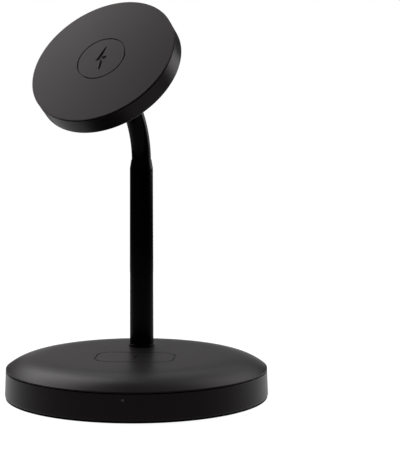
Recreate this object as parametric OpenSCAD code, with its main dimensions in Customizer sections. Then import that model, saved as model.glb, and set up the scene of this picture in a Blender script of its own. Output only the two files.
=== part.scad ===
// Two-in-one wireless charging stand: a weighted round base with an earbud
// pad, a slim post, and a magnetic charging head on a ball joint.
// Millimetres. Origin at the centre of the footprint, +Z up, front is -Y.

/* [Base] */
// Diameter of the base where it meets the foot
base_d = 104.8; // [96:0.2:116]
// Draft of the side wall, as the loss of diameter up to the rim
wall_draft = 0.9; // [0:0.1:1.2]
// Height of the seam between the housing and the cover
rim_z = 10.95; // [10.6:0.05:14]
// Height of the flat top of the cover above the rim
dome_h = 5.4; // [4.8:0.1:7]
// Diameter of the flat part of the cover
flat_d = 61; // [56:0.5:68]
// Fullness of the cover's shoulder, from a cone at 1 upwards
shoulder_power = 3.45; // [2.6:0.05:4.5]
// Height of the shadow gap under the cover
seam_h = 0.4; // [0.3:0.05:0.8]
// Depth of the shadow gap
seam_depth = 1.0; // [0.6:0.1:1.4]
// Radius of the bottom edge of the housing
foot_edge_r = 0.6; // [0.3:0.1:1]
// Wall thickness of the housing
wall_t = 2.2; // [1.8:0.1:2.8]
// Floor thickness of the housing
floor_t = 2.0; // [1.6:0.1:2.6]
// Thickness of the cover
cover_t = 1.8; // [1.4:0.1:2.2]
// How far the foot ring stands out below the housing
foot_drop = 0.6; // [0.4:0.1:1.2]
// Thickness of the foot ring
foot_t = 1.3; // [1:0.1:1.8]
// Distance of the foot ring from the edge of the housing
foot_in = 4.4; // [2:0.2:6]
// Width of the foot ring
foot_w = 10; // [9:0.5:12]

/* [Earbud pad] */
// Length of the oblong mark that shows where earbuds are set down
pad_l = 31; // [26:0.5:36]
// Width of the oblong mark, front to back
pad_w = 21; // [16:0.5:23]
// Corner radius of the oblong mark
pad_r = 6.5; // [3:0.5:8]
// Width of the groove that draws the mark
pad_line_w = 0.5; // [0.4:0.05:0.8]
// Depth of the groove that draws the mark
pad_line_deep = 0.3; // [0.2:0.05:0.5]
// Distance of the pad's middle in front of the base's middle
pad_forward = 6.5; // [6.5:0.5:9]
// Length of the small bolt sign in the middle of the pad
pad_sign_l = 4.2; // [3:0.2:5]

/* [Post] */
// Distance of the post behind the middle of the base
post_back = 20.2; // [20:0.2:23]
// Post diameter at the foot
post_d_foot = 9.8; // [9.4:0.1:10.6]
// Post diameter at the mouth
post_d_top = 9.4; // [9.2:0.1:9.8]
// Height of the post's mouth above the floor
post_top = 93.0; // [84:0.2:100]
// Length of the cone at the mouth
nose_l = 3.6; // [2.6:0.2:6]
// Bore of the post above the swivel bush
mouth_bore_d = 8.0; // [8:0.1:8.2]
// Bore of the post below the swivel bush
post_bore_d = 6.6; // [6:0.1:7]
// Diameter of the trim ring under the post
collar_d = 10.4; // [10.2:0.1:13]
// Height of the trim ring
collar_h = 0.9; // [0.6:0.1:1.6]
// Diameter of the threaded end below the post
tail_d = 9.0; // [8.6:0.1:9.2]

/* [Neck] */
// Diameter of the neck tube
neck_d = 7.8; // [7.4:0.1:7.8]
// Bore of the neck tube
neck_bore_d = 4.4; // [4.2:0.1:4.6]
// Height of the bend's start above the post's mouth
bend_up = -0.8; // [-0.8:0.1:6]
// Radius of the bend at the tube's centre line
bend_r = 35; // [28:0.5:44]
// Angle of the bend, which is also the lean of the head
bend_a = 50; // [35:0.5:65]
// Turn of the neck from straight ahead, towards the left
neck_turn = 26; // [0:1:60]
// Straight stretch of tube after the bend
neck_end_l = 3.4; // [3:0.1:3.6]
// Diameter of the turned end that runs in the bush
spindle_d = 6.2; // [6:0.1:6.4]
// Length of the bush
bush_l = 18; // [12:1:24]
// Swing of the neck each way from straight ahead
swing = 150; // [90:5:150]

/* [Ball joint] */
// Diameter of the ball
ball_d = 9.0; // [8:0.2:9.4]
// Distance of the ball's centre behind the head's back face
ball_set = 4.2; // [3.8:0.1:5]
// Diameter of the stud that carries the ball
stud_d = 4.0; // [3.6:0.1:4.2]
// Bore through the stud and the ball for the lead
stud_bore_d = 2.4; // [2:0.1:2.6]
// Thickness of the ball's liner
liner_t = 0.9; // [0.7:0.1:1.1]
// Half angle of the opening in the liner
liner_mouth_a = 43; // [43:0.5:46]
// Half angle of the opening in the socket
socket_mouth_a = 49.5; // [49:0.5:52]
// Diameter of the boss at its mouth
boss_mouth_d = 14.4; // [14:0.2:16]
// Diameter of the rounded boss where it meets the head
boss_root_d = 25; // [24:0.5:30]
// Length of the boss behind the head's back face
boss_l = 7.8; // [7.6:0.1:8.2]

/* [Head] */
// Diameter of the charging head
head_d = 60.4; // [56:0.2:64]
// Thickness of the charging head
head_t = 8.0; // [7:0.1:9]
// Distance of the head's back face from the end of the bend
head_reach = 13.6; // [13.4:0.1:17]
// Thickness of the head's side wall
head_wall = 1.5; // [1.2:0.1:1.8]
// Thickness of the head's floor
head_floor = 1.2; // [1:0.1:1.4]
// Thickness of the face plate inside the wall
face_t = 1.1; // [0.9:0.1:1.3]
// Height of the groove between face plate and wall
face_gap = 0.45; // [0.25:0.05:0.6]
// Depth of the groove between face plate and wall
face_gap_deep = 0.6; // [0.4:0.05:0.8]
// Height of the face plate's edge above the groove
face_lip = 0.3; // [0.3:0.05:0.6]
// Height of the gentle crown in the middle of the face
face_crown = 0.85; // [0.2:0.05:1.6]
// Turn of the head about its own axis
head_spin = 20; // [0:1:40]
// Radius of the back edge of the head
back_edge_r = 0.5; // [0.3:0.1:1]
// Diameter of the engraved ring on the face
ring_mark_d = 20.2; // [16:0.2:26]
// Width of the engraved ring
ring_mark_w = 0.45; // [0.3:0.05:0.7]
// Depth of the engraved marks
mark_deep = 0.4; // [0.15:0.05:0.5]
// Height of the engraved bolt sign
bolt_h = 11.2; // [7:0.2:12]

/* [Charging parts] */
// Outer diameter of the head's coil
head_coil_d = 39; // [36:0.5:40]
// Inner diameter of the head's coil
head_coil_in = 21; // [19:0.5:24]
// Wire diameter of the head's coil
head_wire = 0.8; // [0.6:0.1:0.8]
// Number of magnets in the ring
magnet_n = 16; // [12:1:18]
// Width of the magnet ring, from its inside to its outside
magnet_w = 4; // [3.5:0.1:4.5]
// Room between the magnet carrier and the head's wall
carrier_gap = 1.3; // [1.2:0.1:1.6]
// Thickness of the magnets
magnet_t = 1.7; // [1.2:0.1:1.8]
// Outer length of the earbud coil
pad_coil_d = 32; // [26:0.5:32]
// Inner diameter of the earbud coil
pad_coil_in = 16; // [14:0.5:20]
// Wire diameter of the earbud coil
pad_wire = 0.9; // [0.7:0.1:1.1]
// Thickness of the iron weight
weight_t = 2.4; // [1.6:0.1:2.4]
// Diameter of the iron weight
weight_d = 76; // [68:1:76]

/* [Board and port] */
// Width of the main board
board_w = 38; // [34:1:40]
// Front edge of the main board behind the middle
board_front = 27.5; // [26.5:0.5:29]
// Thickness of the boards
board_t = 1.2; // [0.8:0.1:1.6]
// Height of the board's pillars above the floor
pillar_h = 1.2; // [1:0.1:1.6]
// Width of the charging socket's shell
port_w = 8.94; // [8.9:0.01:9]
// Height of the charging socket's shell
port_h = 3.26; // [3.2:0.01:3.3]
// Length of the charging socket's shell
port_l = 7.4; // [7:0.1:8]
// Height of the status lamp's window above the floor
window_z = 8.6; // [7.6:0.1:8.6]
// Diameter of the status lamp's window
window_d = 1.0; // [0.8:0.1:1.6]
// Diameter of the lead from the base to the head
lead_d = 2.6; // [2.4:0.1:2.8]

/* [Hidden] */
$fn = 48;

// Clearances: pieces that sit together, run in each other, or just pass
seat_gap = 0.02;
run_gap = 0.05;
fit_gap = 0.1;
free_gap = 0.3;
// Step and overlap where a straight tube meets its bend
blend_step = 0.02;
blend_l = 0.3;
// Overlap that lets a cut pass through a face
cut = 0.5;

// Base levels
base_r = base_d / 2;
rim_r = base_r - wall_draft / 2;
flat_r = flat_d / 2;
cover_top = rim_z + dome_h;
inner_r = base_r - wall_t;
floor_top = foot_drop + floor_t;
seam_low = rim_z - seam_h / 2;
seam_high = rim_z + seam_h / 2;
cover_lip_h = 0.35;
lip_z = seam_high + cover_lip_h;
foot_r = base_r - foot_in;
foot_mid_r = foot_r - foot_w / 2;
skirt_t = 1.4;
skirt_l = 1.2;
skirt_low = seam_low - skirt_l;
cover_under = cover_top - cover_t;

// Base screws sit in the foot ring's groove
screw_n = 4;
screw_d = 3;
screw_head_d = 5.4;
screw_head_h = 1.7;
screw_head_z = foot_t + 0.3;
screw_slot_l = 2.6;
screw_slot_w = 0.6;
screw_slot_deep = 1.2;
screw_pillar_d = 8;
screw_pillar_h = 3.6;
screw_pillar_top = floor_top + screw_pillar_h;
screw_end = seam_high + 0.4;
cover_pillar_d = 7;
cover_pillar_in = 0.9;

// Board and port levels
board_low = floor_top + pillar_h;
board_top = board_low + board_t;
port_z = board_top + port_h / 2;
port_set_back = 0.9;
port_face = base_r - port_set_back;
port_wall = 0.3;
port_back = 0.8;
port_window_gap = 0.25;
tongue_w = 6.68;
tongue_t = 0.7;
tongue_set_back = 1.4;
board_screw_in = 3.4;
board_screw_x = board_w / 2 - board_screw_in;
board_screw_y = board_front + board_screw_in;
board_pillar_y = board_front + 13.5;
board_pillar_d = 5;
board_rest_d = 4;
board_screw_d = 1.6;
board_screw_head_d = 3.6;
board_screw_head_h = 1.1;
board_clip_r = inner_r - 0.6;
lamp_set_back = 1.4;
lamp_y = -(inner_r - lamp_set_back);
lamp_w = 1.6;
lamp_h = 1;
lamp_t = 0.8;
lamp_carrier_w = 5;

// Parts on the main board, counted from its front edge
part_gap = 1.2;
chip_w = 5;
chip_h = 0.9;
driver_w = 4;
driver_h = 1;
choke_w = 7;
choke_h = 2.8;
capacitor_n = 3;
capacitor_d = 2.2;
capacitor_h = 3.2;
capacitor_pitch = 3;
lead_plug_w = 5;
lead_plug_l = 4.4;
lead_plug_h = 3;

// Earbud coil stack hangs under the flat of the cover
pad_y = -pad_forward;
pad_coil_top = cover_under - fit_gap;
pad_ferrite_t = 0.6;
tray_t = 1.2;
tray_rim = 1.75;
tray_leg_in = 3;
tray_leg_d = 4;
tray_low = pad_coil_top - pad_wire - pad_ferrite_t - 2 * seat_gap - tray_t;

// Post levels
collar_top = cover_top + collar_h;
tail_r = tail_d / 2;
cover_boss_h = 2.4;
cover_boss_low = cover_under - cover_boss_h;
cover_boss_r = 8.2;
washer_t = 0.8;
nut_t = 2.6;
nut_flats = 13;
post_washer_z = cover_boss_low - washer_t - seat_gap;
post_nut_z = post_washer_z - nut_t - seat_gap;
tail_end = post_nut_z - 0.6;
tail_edge = 0.4;
mouth_r = mouth_bore_d / 2;
mouth_lip = 0.12;
collar_edge = 0.25;

// Swivel levels
neck_r = neck_d / 2;
spindle_r = spindle_d / 2;
stop_h = 1.2;
stop_in_r = spindle_r + run_gap + fit_gap;
stop_out_r = neck_r - fit_gap;
neck_stop_a = 12;
bush_stop_a = 180 - swing - neck_stop_a - 1;
bush_top = post_top - 3.0;
slip_t = 0.4;
shoulder_z = bush_top + stop_h + fit_gap;
bend_z = post_top + bend_up;
bush_low = bush_top - bush_l;
clip_t = 0.8;
slip_z = bush_low - fit_gap - slip_t;
clip_z = slip_z - fit_gap - clip_t;
spindle_low = clip_z - 1.2;
groove_r = spindle_r - 0.35;
clip_r = mouth_r - 0.2;
clip_open_a = 60;
tail_room = 1.5;

// Lead
lead_r = lead_d / 2;
core_r = 1;
lead_low = post_nut_z;
lead_run_z = board_top + fit_gap + lead_r;
lead_taper_a = bend_a - 3.4;

// Ball joint, on the axis of the neck's end
ball_r = ball_d / 2;
ball_at = head_reach - ball_set;
liner_in = ball_r + run_gap;
liner_out = liner_in + liner_t;
socket_r = liner_out + run_gap;
stud_tail = 1.5;
stud_tail_r = neck_bore_d / 2 - run_gap;
stud_flat = 0.4;
stud_ring_r = stud_tail_r + 0.7;
stud_ring_t = 0.8;
spigot_r = socket_r + 1.2;
spigot_low = ball_at + 0.3;
cap_flange_r = 11.6;
cap_t = 1.3;
cap_screw_ring = 9.3;
cap_screw_d = 1.6;
cap_screw_n = 3;
cap_screw_head_d = 2.8;
cap_screw_head_h = 0.8;
cap_screw_l = 3.4;
cap_screw_deep = 2.6;
lead_way_r = stud_d / 2 + 0.6;
boss_edge = 0.6;
boss_low = head_reach - boss_l;

// Head levels, counted along the neck's end
head_r = head_d / 2;
head_in = head_r - head_wall;
floor_in = head_reach + head_floor;
face_high = head_reach + head_t;
face_low = face_high - face_t;
lip_low = face_high - face_lip;
gap_low = lip_low - face_gap;
crown_steps = 10;
function crown(r) = face_high + face_crown * (1 - pow(r / (head_r - 0.1), 2));
mark_floor = crown(ring_mark_d / 2) - mark_deep;
hboard_t = 0.8;
plate_t = 0.5;
magnet_z = face_low - seat_gap - magnet_t;
plate_z = magnet_z - seat_gap - plate_t;
hcoil_top = face_low - seat_gap;
hferrite_t = 0.5;
hferrite_z = hcoil_top - head_wire - seat_gap - hferrite_t;
carrier_edge = 0.4;
carrier_out = head_in - carrier_gap;
magnet_out = carrier_out - carrier_edge;
magnet_in = magnet_out - magnet_w;
carrier_in = magnet_in - carrier_edge - 0.2;
magnet_gap_a = 24;
magnet_split_a = 0.6;
carrier_lip_t = 1.2;
carrier_lip_w = 5;

// Black plastics, black painted metal, and what is inside
skin = [0.12, 0.11, 0.115];
face_black = [0.16, 0.15, 0.155];
metal_black = [0.06, 0.06, 0.06];
rubber_black = [0.05, 0.05, 0.055];
copper = [0.78, 0.45, 0.22];
steel = [0.62, 0.63, 0.65];
iron = [0.33, 0.33, 0.35];
ferrite = [0.2, 0.19, 0.19];
board_green = [0.07, 0.26, 0.16];
clear_grey = [0.55, 0.55, 0.57];
white = [0.9, 0.9, 0.88];
natural = [0.83, 0.81, 0.75];
magnet = [0.75, 0.75, 0.77];

// Height of the cover's outer skin at radius r
function shoulder(r) =
    r <= flat_r ? cover_top
    : cover_top - (cover_top - lip_z) * pow((r - flat_r) / (rim_r - flat_r), shoulder_power);

// Radii at which the shoulder's outline has its points, closer near the rim
shoulder_steps = 14;
function shoulder_r(i, last) = flat_r + (last - flat_r) * sin(90 * i / shoulder_steps);
// The cover's skirt passes inside the housing's wall
skirt_out = inner_r - fit_gap;
skirt_in = skirt_out - skirt_t;

// A ring with square edges from radius a to b, from z0 up by h
module ring(a, b, z0, h) {
    translate([0, 0, z0]) difference() {
        cylinder(r = b, h = h, $fn = 96);
        translate([0, 0, -cut]) cylinder(r = a, h = h + 2 * cut, $fn = 96);
    }
}

// An oblong with round corners, drawn flat
module oblong(l, w, r) {
    square([l, w - 2 * r], center = true);
    square([l - 2 * r, w], center = true);
    for (x = [-1, 1], y = [-1, 1])
        translate([x * (l / 2 - r), y * (w / 2 - r)]) circle(r = r);
}

// A slot with half-round ends, drawn flat
module slot(l, w) {
    square([l - w, w], center = true);
    for (x = [-1, 1]) translate([x * (l - w) / 2, 0]) circle(r = w / 2);
}

// The generic charge sign: a bolt of height h, drawn flat and upright
module bolt_sign(h) {
    polygon(h * [
        [0.155, 0.50], [-0.215, -0.055], [-0.02, -0.055], [-0.095, -0.50],
        [-0.045, -0.50], [0.215, 0.055], [0.02, 0.055], [0.205, 0.50]
    ]);
}

// Puts its children in the frame of the post
module at_post() {
    translate([0, post_back, 0]) children();
}

// Puts its children on the neck's axis below the bend, its bend towards -Y
module at_neck() {
    at_post() rotate([0, 0, -neck_turn]) children();
}

// Puts its children at the end of the bend, from inside the neck's frame
module bend_end() {
    translate([0, -bend_r * (1 - cos(bend_a)), bend_z + bend_r * sin(bend_a)])
        rotate([bend_a, 0, 0]) children();
}

// Puts its children on the axis of the neck's end, which is also the head's
module at_head() {
    at_neck() bend_end() children();
}

// Puts its children on the head, turned with it about its axis
module on_head() {
    at_head() rotate([0, 0, head_spin]) children();
}

// Copies its children evenly round the Z axis, the first one at angle a
module around(n, a) {
    for (i = [0:n - 1]) rotate([0, 0, a + 360 * i / n]) children();
}

// Moulded cup with a seat for the cover, pillars for the board and screws
module base_housing() {
    color(skin) difference() {
        union() {
            rotate_extrude($fn = 128) polygon(concat(
                [[0, foot_drop]],
                [for (t = [-90:22.5:0]) [base_r + foot_edge_r * (cos(t) - 1),
                    foot_drop + foot_edge_r * (sin(t) + 1)]],
                [[rim_r, seam_low], [rim_r - seam_depth, seam_low],
                 [rim_r - seam_depth, seam_high], [inner_r, seam_high], [inner_r, floor_top],
                 [0, floor_top]]
            ));
            around(screw_n, 45) translate([foot_mid_r, 0, foot_drop + cut])
                cylinder(d = screw_pillar_d, h = screw_pillar_top - foot_drop - cut);
            for (x = [-1, 1]) translate([x * board_screw_x, board_screw_y, foot_drop + cut])
                cylinder(d = board_pillar_d, h = board_low - foot_drop - cut);
            for (x = [-1, 1]) translate([x * board_screw_x, board_pillar_y, foot_drop + cut])
                cylinder(d = board_rest_d, h = board_low - foot_drop - cut);
        }
        ring(foot_r - foot_w - fit_gap, foot_r + fit_gap, foot_drop - cut, foot_t - foot_drop + cut);
        around(screw_n, 45) translate([foot_mid_r, 0, 0]) {
            cylinder(d = screw_d + 2 * fit_gap, h = screw_pillar_top + cut);
            cylinder(d = screw_head_d + 2 * fit_gap, h = screw_head_z + screw_head_h);
        }
        for (x = [-1, 1]) translate([x * board_screw_x, board_screw_y, foot_drop + 0.8])
            cylinder(d = board_screw_d + 2 * run_gap, h = board_low);
        translate([0, base_r + cut, port_z]) rotate([90, 0, 0])
            linear_extrude(wall_t + 2 * cut)
                slot(port_w + 2 * port_window_gap, port_h + 2 * port_window_gap);
        translate([0, -base_r - cut, window_z]) rotate([-90, 0, 0])
            cylinder(d = window_d + 2 * seat_gap, h = wall_t + 2 * cut);
    }
}

// Domed lid with a skirt inside the wall, a boss for the post and the pad mark
module base_top_cover() {
    color(skin) difference() {
        union() {
            rotate_extrude($fn = 128) polygon(concat(
                [[0, cover_top]],
                [for (i = [0:shoulder_steps])
                    let (r = shoulder_r(i, rim_r)) [r, shoulder(r)]],
                [[rim_r, seam_high], [skirt_out, seam_high], [skirt_out, skirt_low],
                 [skirt_in, skirt_low]],
                [for (i = [shoulder_steps:-1:0])
                    let (r = shoulder_r(i, skirt_in)) [r, shoulder(r) - cover_t]],
                [[0, cover_under]]
            ));
            at_post() translate([0, 0, cover_boss_low])
                cylinder(r = cover_boss_r, h = cover_under - cover_boss_low + cut);
            around(screw_n, 45) translate([foot_mid_r, 0, screw_pillar_top])
                cylinder(d = cover_pillar_d, h = shoulder(foot_mid_r + cover_pillar_d / 2)
                    - cover_pillar_in - screw_pillar_top);
        }
        at_post() translate([0, 0, cover_boss_low - cut])
            cylinder(r = tail_r + fit_gap, h = cover_top - cover_boss_low + 2 * cut);
        around(screw_n, 45) translate([foot_mid_r, 0, screw_pillar_top - cut])
            cylinder(d = screw_d + 2 * seat_gap, h = screw_end - screw_pillar_top + cut + free_gap);
        translate([0, pad_y, cover_top - pad_line_deep]) linear_extrude(cut + pad_line_deep)
            difference() {
                oblong(pad_l + pad_line_w, pad_w + pad_line_w, pad_r + pad_line_w / 2);
                oblong(pad_l - pad_line_w, pad_w - pad_line_w, pad_r - pad_line_w / 2);
            }
        translate([0, pad_y, cover_top - mark_deep]) linear_extrude(cut + mark_deep)
            bolt_sign(pad_sign_l);
    }
}

// Rubber ring pressed into the groove under the base
module foot_ring() {
    color(rubber_black) ring(foot_r - foot_w, foot_r, 0, foot_t);
}

// Iron plate that keeps the stand from tipping, cut away behind for the board
module base_weight() {
    color(iron) difference() {
        translate([0, 0, floor_top]) cylinder(d = weight_d, h = weight_t, $fn = 96);
        translate([-weight_d, board_front - 2, floor_top - cut])
            cube([2 * weight_d, weight_d, weight_t + 2 * cut]);
        around(screw_n, 45) translate([foot_mid_r, 0, floor_top - cut])
            cylinder(d = screw_pillar_d + 1, h = weight_t + 2 * cut);
    }
}

// Screws that close the base from below, hidden by the foot ring
module base_screws() {
    color(steel) around(screw_n, 45)
        translate([foot_mid_r, 0, screw_head_z]) difference() {
            union() {
                cylinder(d = screw_head_d, h = screw_head_h);
                cylinder(d = screw_d, h = screw_end - screw_head_z);
            }
            for (t = [0, 90]) rotate([0, 0, t])
                translate([-screw_slot_l / 2, -screw_slot_w / 2, -cut])
                    cube([screw_slot_l, screw_slot_w, cut + screw_slot_deep]);
        }
}

// Board that carries the port, the chips and the lamp's feed
module main_board() {
    color(board_green) difference() {
        intersection() {
            translate([-board_w / 2, board_front, board_low])
                cube([board_w, base_r - board_front, board_t]);
            translate([0, 0, board_low - cut])
                cylinder(r = board_clip_r, h = board_t + 2 * cut, $fn = 96);
        }
        for (x = [-1, 1]) translate([x * board_screw_x, board_screw_y, board_low - cut])
            cylinder(d = board_screw_d + 2 * free_gap, h = board_t + 2 * cut);
    }
}

// Chips, a choke, capacitors and the lead's plug, soldered on the main board
module board_parts() {
    y = board_front + part_gap;
    color(metal_black) {
        translate([-lead_plug_w / 2 - 2 * part_gap - chip_w, y, board_top])
            cube([chip_w, chip_w, chip_h]);
        translate([lead_plug_w / 2 + 2 * part_gap, y, board_top])
            cube([driver_w, chip_w, driver_h]);
        translate([-port_w - choke_w, y + choke_w, board_top]) cube([choke_w, choke_w, choke_h]);
        for (i = [0:capacitor_n - 1])
            translate([port_w - part_gap + capacitor_pitch * i, y + 2 * chip_w, board_top])
                cylinder(d = capacitor_d, h = capacitor_h);
        translate([-lead_plug_w / 2, y, board_top])
            cube([lead_plug_w, lead_plug_l, lead_plug_h]);
    }
}

// Screws that hold the main board on its pillars
module board_screws() {
    color(steel) for (x = [-1, 1])
        translate([x * board_screw_x, board_screw_y, board_top]) {
            cylinder(d = board_screw_head_d, h = board_screw_head_h);
            translate([0, 0, 0.2 - board_t - pillar_h])
                cylinder(d = board_screw_d, h = board_t + pillar_h);
        }
}

// Metal shell of the charging socket, open to the rear
module usb_c_shell() {
    color(steel) translate([0, port_face, port_z]) rotate([90, 0, 0]) difference() {
        linear_extrude(port_l) slot(port_w, port_h);
        translate([0, 0, -cut]) linear_extrude(port_l - port_back + cut)
            slot(port_w - 2 * port_wall, port_h - 2 * port_wall);
    }
}

// Contact tongue inside the charging socket
module usb_c_tongue() {
    color(metal_black)
        translate([-tongue_w / 2, port_face - port_l + port_back, port_z - tongue_t / 2])
            cube([tongue_w, port_l - port_back - tongue_set_back, tongue_t]);
}

// Small lamp on an upright carrier behind its window in the front wall
module status_lamp() {
    color(white) {
        translate([-lamp_carrier_w / 2, lamp_y, floor_top])
            cube([lamp_carrier_w, lamp_t, window_z + lamp_h / 2 - floor_top]);
        translate([-lamp_w / 2, lamp_y + seat_gap - lamp_t, window_z - lamp_h / 2])
            cube([lamp_w, lamp_t, lamp_h]);
    }
}

// Light guide that fills the window in the front wall
module lamp_window() {
    color(clear_grey) translate([0, 0, window_z]) rotate([90, 0, 0])
        translate([0, 0, inner_r - 0.3]) cylinder(d = window_d, h = base_r - inner_r + 0.2);
}

// Flat coil of round wire under the earbud pad
module earbud_coil() {
    turns = floor((pad_coil_d - pad_coil_in) / 2 / pad_wire);
    color(copper) translate([0, pad_y, pad_coil_top - pad_wire / 2]) rotate_extrude($fn = 96)
        union() {
            for (i = [0:turns - 1])
                translate([pad_coil_in / 2 + pad_wire * (i + 0.5), 0]) circle(d = pad_wire, $fn = 16);
            translate([pad_coil_in / 2 + pad_wire / 2, -pad_wire / 4])
                square([pad_wire * (turns - 1), pad_wire / 2]);
        }
}

// Ferrite sheet that shields the board from the earbud coil
module earbud_ferrite() {
    color(ferrite) translate([0, pad_y, pad_coil_top - pad_wire - seat_gap - pad_ferrite_t])
        cylinder(d = pad_coil_d + 2, h = pad_ferrite_t, $fn = 96);
}

// Moulded tray that holds the earbud coil up, on legs from the weight
module coil_tray() {
    leg_z = floor_top + weight_t;
    color(natural) translate([0, pad_y, 0]) {
        translate([0, 0, tray_low])
            cylinder(r = pad_coil_d / 2 + tray_rim, h = tray_t, $fn = 96);
        around(4, 45) translate([pad_coil_d / 2 - tray_leg_in, 0, leg_z])
            cylinder(d = tray_leg_d, h = tray_low - leg_z + blend_l);
    }
}

// Tapered metal post with a coned mouth and a threaded end below
module post() {
    r_foot = post_d_foot / 2;
    r_top = post_d_top / 2;
    nose_z = post_top - nose_l;
    color(metal_black) at_post() difference() {
        rotate_extrude($fn = 96) polygon([
            [0, tail_end], [tail_r - tail_edge, tail_end], [tail_r, tail_end + tail_edge],
            [tail_r, collar_top], [r_foot, collar_top], [r_top, nose_z],
            [mouth_r + mouth_lip, post_top], [0, post_top]
        ]);
        translate([0, 0, tail_end - cut]) cylinder(d = post_bore_d, h = post_top, $fn = 96);
        translate([0, 0, spindle_low - tail_room])
            cylinder(d = mouth_bore_d, h = post_top, $fn = 96);
    }
}

// Trim ring between the post and the cover
module post_collar() {
    color(metal_black) at_post() difference() {
        rotate_extrude($fn = 96) polygon([
            [tail_r - cut, cover_top], [collar_d / 2, cover_top],
            [collar_d / 2, collar_top - collar_edge], [collar_d / 2 - collar_edge, collar_top],
            [tail_r - cut, collar_top]
        ]);
        translate([0, 0, cover_top - cut])
            cylinder(r = tail_r + fit_gap, h = collar_h + 2 * cut, $fn = 96);
    }
}

// Steel washer under the cover's boss
module post_washer() {
    color(steel) at_post() ring(tail_r + fit_gap, cover_boss_r - 0.4, post_washer_z, washer_t);
}

// Hexagon nut that clamps the post to the cover
module post_nut() {
    color(steel) at_post() translate([0, 0, post_nut_z]) difference() {
        cylinder(d = nut_flats / cos(30), h = nut_t, $fn = 6);
        translate([0, 0, -cut]) cylinder(r = tail_r + run_gap, h = nut_t + 2 * cut);
    }
}

// A piece of a flat ring, from -half to half about the axis a, from z0 up by h
module sector(r0, r1, a, half, z0, h) {
    translate([0, 0, z0]) rotate([0, 0, a - half])
        rotate_extrude(angle = 2 * half, $fn = 96) translate([r0, 0]) square([r1 - r0, h]);
}

// Plain bearing for the neck, with the stop that saves the lead from twisting
module swivel_bush() {
    color(natural) at_post() {
        ring(spindle_r + run_gap, mouth_r - seat_gap, bush_low, bush_l);
        sector(stop_in_r, stop_out_r, 90, bush_stop_a, bush_top - blend_l, stop_h + blend_l);
    }
}

// Lead from the main board to the foot of the post
module base_lead() {
    color(rubber_black) translate([0, post_back, lead_run_z]) {
        cylinder(r = lead_r, h = lead_low - free_gap - lead_run_z);
        sphere(r = lead_r);
        rotate([-90, 0, 0])
            cylinder(r = lead_r, h = board_front + part_gap - fit_gap - post_back);
    }
}

// Bent tube with a turned end that runs in the bush
module neck_tube() {
    color(metal_black) at_neck() {
        difference() {
            union() {
                translate([0, 0, spindle_low])
                    cylinder(r = spindle_r, h = shoulder_z - spindle_low + cut, $fn = 96);
                translate([0, 0, shoulder_z])
                    cylinder(r = neck_r, h = bend_z + blend_l - shoulder_z, $fn = 96);
                bend_bar(neck_r - blend_step, 0, bend_a);
                bend_end() translate([0, 0, -blend_l])
                    cylinder(r = neck_r, h = neck_end_l + blend_l, $fn = 96);
                sector(spindle_r - blend_l, stop_out_r, 270, neck_stop_a,
                    shoulder_z - stop_h, stop_h + blend_l);
            }
            translate([0, 0, spindle_low - cut])
                cylinder(d = neck_bore_d, h = bend_z + blend_l - spindle_low + cut, $fn = 96);
            bend_bar(neck_bore_d / 2 - blend_step, 0, bend_a);
            bend_end() translate([0, 0, -stud_tail - blend_l])
                cylinder(d = neck_bore_d, h = neck_end_l + stud_tail + blend_l + cut, $fn = 96);
            ring(groove_r, spindle_r + cut, clip_z - fit_gap, clip_t + 2 * fit_gap);
        }
    }
}

// A round bar along the bend from angle a0 to a1, with its middle on the tube's
module bend_bar(r, a0, a1) {
    translate([0, -bend_r, bend_z]) rotate([90, 0, 90]) rotate([0, 0, a0])
        rotate_extrude(angle = a1 - a0, $fn = 128) translate([bend_r, 0]) circle(r = r);
}

// Slip washer between the bush and the clip
module swivel_washer() {
    color(natural) at_neck()
        ring(spindle_r + run_gap, clip_r, slip_z, slip_t);
}

// Clip that keeps the neck from lifting out of the bush
module neck_clip() {
    color(steel) at_neck()
        sector(groove_r + seat_gap, clip_r, 270, 180 - clip_open_a / 2, clip_z, clip_t);
}

// Lead up the middle of the post, round the bend and into the stud
module neck_lead() {
    color(rubber_black) {
        at_neck() {
            translate([0, 0, lead_low]) cylinder(r = lead_r, h = bend_z + blend_l - lead_low);
            bend_bar(lead_r - blend_step, 0, lead_taper_a);
            bend_bar(core_r - blend_step, lead_taper_a - 1, bend_a);
        }
        at_head() translate([0, 0, -blend_l])
            cylinder(r = core_r, h = ball_at + ball_r - stud_flat - fit_gap + blend_l);
    }
}

// Hollow ball on a stud that is held in the neck's end
module ball_stud() {
    color(steel) at_head() difference() {
        union() {
            translate([0, 0, -stud_tail]) cylinder(r = stud_tail_r, h = neck_end_l + stud_tail + cut);
            translate([0, 0, neck_end_l + fit_gap]) cylinder(r = stud_ring_r, h = stud_ring_t);
            cylinder(d = stud_d, h = ball_at);
            translate([0, 0, ball_at]) sphere(r = ball_r, $fn = 96);
        }
        translate([0, 0, -stud_tail - cut])
            cylinder(d = stud_bore_d, h = ball_at + stud_tail + ball_r + 2 * cut);
        translate([0, 0, ball_at + ball_r - stud_flat]) cylinder(r = ball_r, h = 1);
    }
}

// Plastic liner that grips the ball
module ball_liner() {
    color(natural) at_head() translate([0, 0, ball_at]) difference() {
        sphere(r = liner_out, $fn = 96);
        sphere(r = liner_in, $fn = 96);
        mirror([0, 0, 1]) cylinder(r1 = 0, r2 = 2 * ball_r * tan(liner_mouth_a), h = 2 * ball_r);
        cylinder(r = lead_way_r, h = 2 * ball_r);
    }
}

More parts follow.
